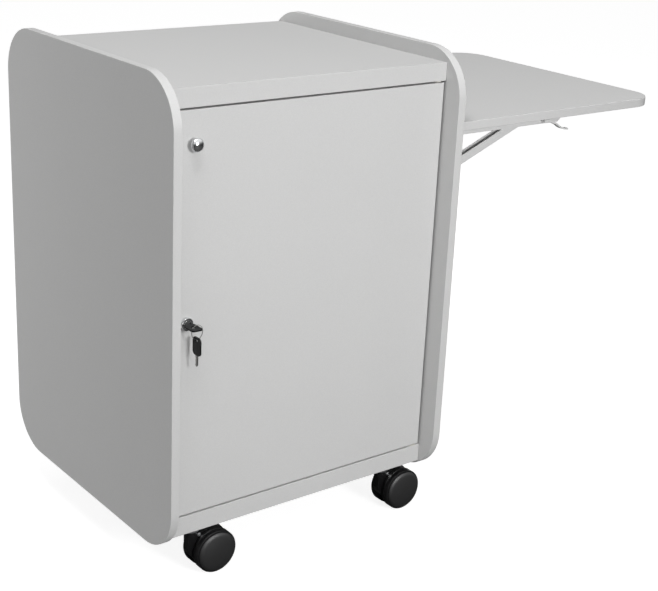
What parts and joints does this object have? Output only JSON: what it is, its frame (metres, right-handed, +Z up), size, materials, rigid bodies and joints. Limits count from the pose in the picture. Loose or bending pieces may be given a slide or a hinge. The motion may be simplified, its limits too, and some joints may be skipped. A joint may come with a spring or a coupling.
{
  "type": "laptop charging cart",
  "caption": "Laminate cabinet on swivel casters for storing and charging laptops, with a keyed door, racks, power strips and a side shelf that folds down on brackets.",
  "frame": {"origin": "on the floor, below the middle of the box round the cart with its shelf up", "axes": "+X to the right of the door and along the raised shelf, +Y to the back, +Z up"},
  "size_m": [1.119, 0.57, 0.892],
  "materials": {
    "laminate": "grey melamine laminate with light edge banding, satin",
    "rack_plastic": "moulded, fine texture",
    "strip_plastic": "moulded, satin",
    "nylon": "natural nylon",
    "steel": "zinc plated",
    "chrome": "bright chrome",
    "key_plastic": "moulded bow, steel blade",
    "bracket_steel": "bright zinc plated",
    "caster_plastic": "moulded black nylon"
  },
  "bodies": {
    "cabinet": {"side_panel_left": "laminate", "side_panel_right": "laminate", "top_panel": "laminate", "base_panel": "laminate", "mid_shelf": "laminate", "back_panel": "laminate", "mains_inlet": "strip_plastic", "laptop_rack_lower": "rack_plastic", "laptop_rack_upper": "rack_plastic", "power_strip_lower": "strip_plastic", "power_strip_upper": "strip_plastic", "lock_strike": "steel", "door_pivot_bush_top": "nylon", "door_pivot_bush_bottom": "nylon", "bracket_wall_arm_front": "bracket_steel", "bracket_wall_arm_rear": "bracket_steel", "bracket_shelf_pin_front": "bracket_steel", "bracket_shelf_pin_rear": "bracket_steel", "bracket_brace_pin_front": "bracket_steel", "bracket_brace_pin_rear": "bracket_steel", "caster_mount_front_left": "steel", "caster_mount_front_right": "steel", "caster_mount_rear_left": "steel", "caster_mount_rear_right": "steel"},
    "door": {"door_panel": "laminate", "door_knob": "chrome", "lock_barrel": "chrome", "door_pivot_pin_top": "steel", "door_pivot_pin_bottom": "steel"},
    "lock_cylinder": {"lock_plug": "chrome", "lock_key": "key_plastic", "lock_cam": "steel"},
    "spare_key_set": {"key_ring": "steel", "spare_key": "key_plastic"},
    "shelf": {"side_shelf": "laminate", "bracket_shelf_arm_front": "bracket_steel", "bracket_shelf_arm_rear": "bracket_steel"},
    "brace_front": {"bracket_brace_front": "bracket_steel"},
    "brace_rear": {"bracket_brace_rear": "bracket_steel"},
    "lever_front": {"bracket_release_lever_front": "bracket_steel"},
    "lever_rear": {"bracket_release_lever_rear": "bracket_steel"},
    "caster_front_left": {"caster_hood_front_left": "caster_plastic", "caster_axle_front_left": "steel"},
    "caster_front_right": {"caster_hood_front_right": "caster_plastic", "caster_axle_front_right": "steel"},
    "caster_rear_left": {"caster_hood_rear_left": "caster_plastic", "caster_axle_rear_left": "steel"},
    "caster_rear_right": {"caster_hood_rear_right": "caster_plastic", "caster_axle_rear_right": "steel"},
    "wheel_front_left_a": {"caster_wheel_front_left_a": "caster_plastic"},
    "wheel_front_left_b": {"caster_wheel_front_left_b": "caster_plastic"},
    "wheel_front_right_a": {"caster_wheel_front_right_a": "caster_plastic"},
    "wheel_front_right_b": {"caster_wheel_front_right_b": "caster_plastic"},
    "wheel_rear_left_a": {"caster_wheel_rear_left_a": "caster_plastic"},
    "wheel_rear_left_b": {"caster_wheel_rear_left_b": "caster_plastic"},
    "wheel_rear_right_a": {"caster_wheel_rear_right_a": "caster_plastic"},
    "wheel_rear_right_b": {"caster_wheel_rear_right_b": "caster_plastic"}
  },
  "joints": [
    {"name": "door_hinge", "type": "hinge", "parent": "cabinet", "child": "door", "pos_m": [-0.0005, -0.239, 0.485], "axis": [0, 0, 1], "range_deg": [0, 95]},
    {"name": "lock_turn", "type": "hinge", "parent": "door", "child": "lock_cylinder", "pos_m": [-0.5115, -0.253, 0.485], "axis": [0, 1, 0], "range_deg": [0, 90]},
    {"name": "spare_key_swing", "type": "hinge", "parent": "door", "child": "spare_key_set", "pos_m": [-0.5115, -0.2695, 0.485], "axis": [0, 1, 0], "range_deg": [-5, 5]},
    {"name": "shelf_fold", "type": "hinge", "parent": "cabinet", "child": "shelf", "pos_m": [0.0475, 0, 0.7347], "axis": [0, 1, 0], "range_deg": [0, 88]},
    {"name": "brace_fold_front", "type": "hinge", "parent": "cabinet", "child": "brace_front", "pos_m": [0.0475, -0.205, 0.6547], "axis": [0, 1, 0], "range_deg": [0, 109.1]},
    {"name": "brace_fold_rear", "type": "hinge", "parent": "cabinet", "child": "brace_rear", "pos_m": [0.0475, 0.205, 0.6547], "axis": [0, 1, 0], "range_deg": [0, 109.1]},
    {"name": "lever_release_front", "type": "hinge", "parent": "shelf", "child": "lever_front", "pos_m": [0.2995, -0.2245, 0.7337], "axis": [0, -1, 0], "range_deg": [0, 15]},
    {"name": "lever_release_rear", "type": "hinge", "parent": "shelf", "child": "lever_rear", "pos_m": [0.2995, 0.2245, 0.7337], "axis": [0, -1, 0], "range_deg": [0, 15]},
    {"name": "caster_swivel_front_left", "type": "hinge", "parent": "cabinet", "child": "caster_front_left", "pos_m": [-0.4775, -0.2142, 0.082], "axis": [0, 0, 1], "continuous": true},
    {"name": "wheel_spin_front_left_a", "type": "hinge", "parent": "caster_front_left", "child": "wheel_front_left_a", "pos_m": [-0.4375, -0.234, 0.04], "axis": [0, 1, 0], "continuous": true},
    {"name": "wheel_spin_front_left_b", "type": "hinge", "parent": "caster_front_left", "child": "wheel_front_left_b", "pos_m": [-0.4375, -0.1944, 0.04], "axis": [0, 1, 0], "continuous": true},
    {"name": "caster_swivel_front_right", "type": "hinge", "parent": "cabinet", "child": "caster_front_right", "pos_m": [-0.0505, -0.2142, 0.082], "axis": [0, 0, 1], "continuous": true},
    {"name": "wheel_spin_front_right_a", "type": "hinge", "parent": "caster_front_right", "child": "wheel_front_right_a", "pos_m": [-0.0105, -0.234, 0.04], "axis": [0, 1, 0], "continuous": true},
    {"name": "wheel_spin_front_right_b", "type": "hinge", "parent": "caster_front_right", "child": "wheel_front_right_b", "pos_m": [-0.0105, -0.1944, 0.04], "axis": [0, 1, 0], "continuous": true},
    {"name": "caster_swivel_rear_left", "type": "hinge", "parent": "cabinet", "child": "caster_rear_left", "pos_m": [-0.4775, 0.2142, 0.082], "axis": [0, 0, 1], "continuous": true},
    {"name": "wheel_spin_rear_left_a", "type": "hinge", "parent": "caster_rear_left", "child": "wheel_rear_left_a", "pos_m": [-0.4375, 0.1944, 0.04], "axis": [0, 1, 0], "continuous": true},
    {"name": "wheel_spin_rear_left_b", "type": "hinge", "parent": "caster_rear_left", "child": "wheel_rear_left_b", "pos_m": [-0.4375, 0.234, 0.04], "axis": [0, 1, 0], "continuous": true},
    {"name": "caster_swivel_rear_right", "type": "hinge", "parent": "cabinet", "child": "caster_rear_right", "pos_m": [-0.0505, 0.2142, 0.082], "axis": [0, 0, 1], "continuous": true},
    {"name": "wheel_spin_rear_right_a", "type": "hinge", "parent": "caster_rear_right", "child": "wheel_rear_right_a", "pos_m": [-0.0105, 0.1944, 0.04], "axis": [0, 1, 0], "continuous": true},
    {"name": "wheel_spin_rear_right_b", "type": "hinge", "parent": "caster_rear_right", "child": "wheel_rear_right_b", "pos_m": [-0.0105, 0.234, 0.04], "axis": [0, 1, 0], "continuous": true}
  ],
  "couplings": [
    {"joint": "brace_fold_front", "follows": "shelf_fold", "ratio": 1.2393},
    {"joint": "brace_fold_rear", "follows": "shelf_fold", "ratio": 1.2393}
  ]
}
